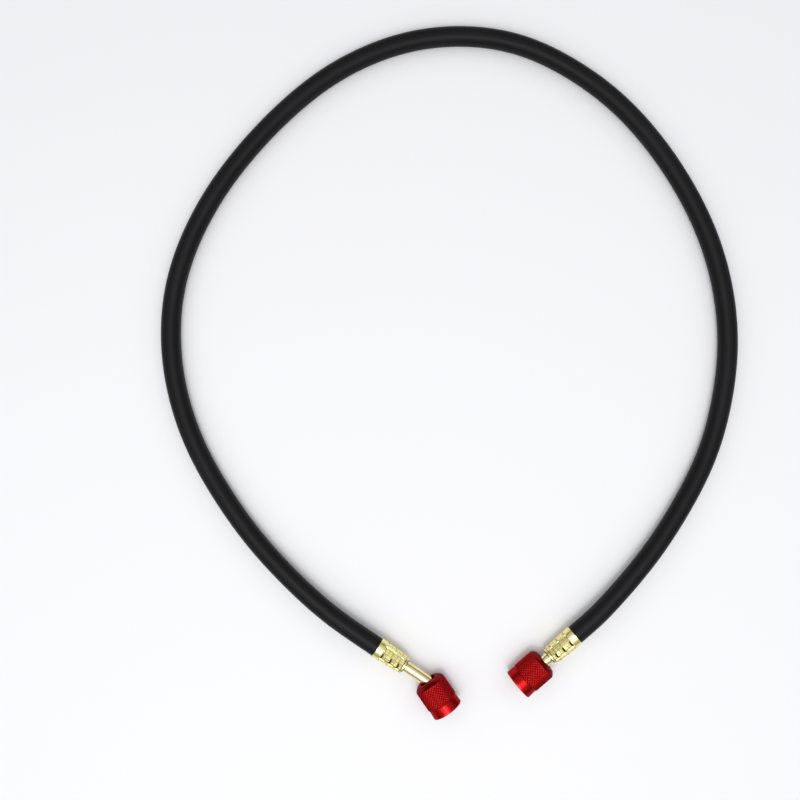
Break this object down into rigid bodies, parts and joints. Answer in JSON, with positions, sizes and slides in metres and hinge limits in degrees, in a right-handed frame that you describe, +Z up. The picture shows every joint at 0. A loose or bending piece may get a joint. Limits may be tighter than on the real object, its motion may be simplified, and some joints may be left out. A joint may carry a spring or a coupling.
{
  "type": "refrigerant charging hose",
  "caption": "Flexible rubber charging hose lying in an open loop, with a bent and a straight crimped brass fitting, each carrying a knurled swivel nut.",
  "frame": {"origin": "on the floor, under the middle of the two fittings' common box", "axes": "+Z up from the floor that the hose lies on; -X points out of the straight end's nut, along its axis; the bent end's nut points near -Y"},
  "size_m": [0.2951, 0.3097, 0.0166],
  "materials": {
    "hose_rubber": "smooth semi-matte black rubber",
    "ferrule_brass": "bright pale yellow plated brass, crimped",
    "stem_brass": "polished brass",
    "nut_red_anodised": "red anodised, diamond knurled, with a smooth turned collar",
    "gasket_rubber": "matte black seal"
  },
  "bodies": {
    "hose_assembly": {"hose": "hose_rubber", "ferrule_bent_end": "ferrule_brass", "stem_bent_end": "stem_brass", "gasket_bent_end": "gasket_rubber", "core_depressor": "stem_brass", "ferrule_straight_end": "ferrule_brass", "stem_straight_end": "stem_brass", "gasket_straight_end": "gasket_rubber"},
    "bent_end_nut": {"nut_bent_end": "nut_red_anodised"},
    "straight_end_nut": {"nut_straight_end": "nut_red_anodised"}
  },
  "joints": [
    {"name": "bent_nut_swivel", "type": "hinge", "parent": "hose_assembly", "child": "bent_end_nut", "pos_m": [-0.03008, -0.00448, 0.0083], "axis": [-0.1132, -0.9936, 0], "continuous": true},
    {"name": "straight_nut_swivel", "type": "hinge", "parent": "hose_assembly", "child": "straight_end_nut", "pos_m": [0.0129, -0.027, 0.0083], "axis": [-1, 0, 0], "continuous": true}
  ]
}
